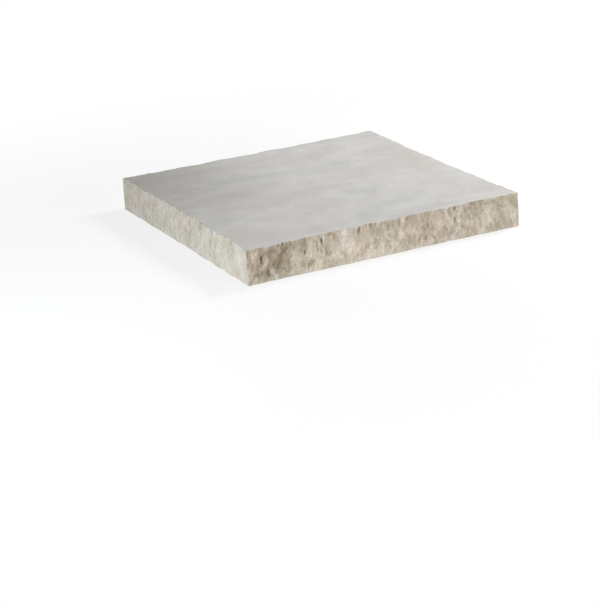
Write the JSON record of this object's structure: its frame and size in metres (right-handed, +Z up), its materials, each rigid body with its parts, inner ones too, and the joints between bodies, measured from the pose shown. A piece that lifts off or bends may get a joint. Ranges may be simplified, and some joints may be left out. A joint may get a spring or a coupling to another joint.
{
  "type": "pillar cap",
  "caption": "Flat square limestone cap with a smooth sawn top and rock-faced pitched edges, laid level on a masonry pillar to shed rain and finish its head.",
  "frame": {"origin": "middle of the sawn underside", "axes": "+Z up, out of the sawn top; -Y out of the front edge; +X to the right along the front edge"},
  "size_m": [0.61, 0.61, 0.07],
  "materials": {
    "limestone": "matte, sawn top and underside, split and pitched edges"
  },
  "bodies": {
    "root": {"pillar_cap": "limestone"}
  },
  "joints": []
}
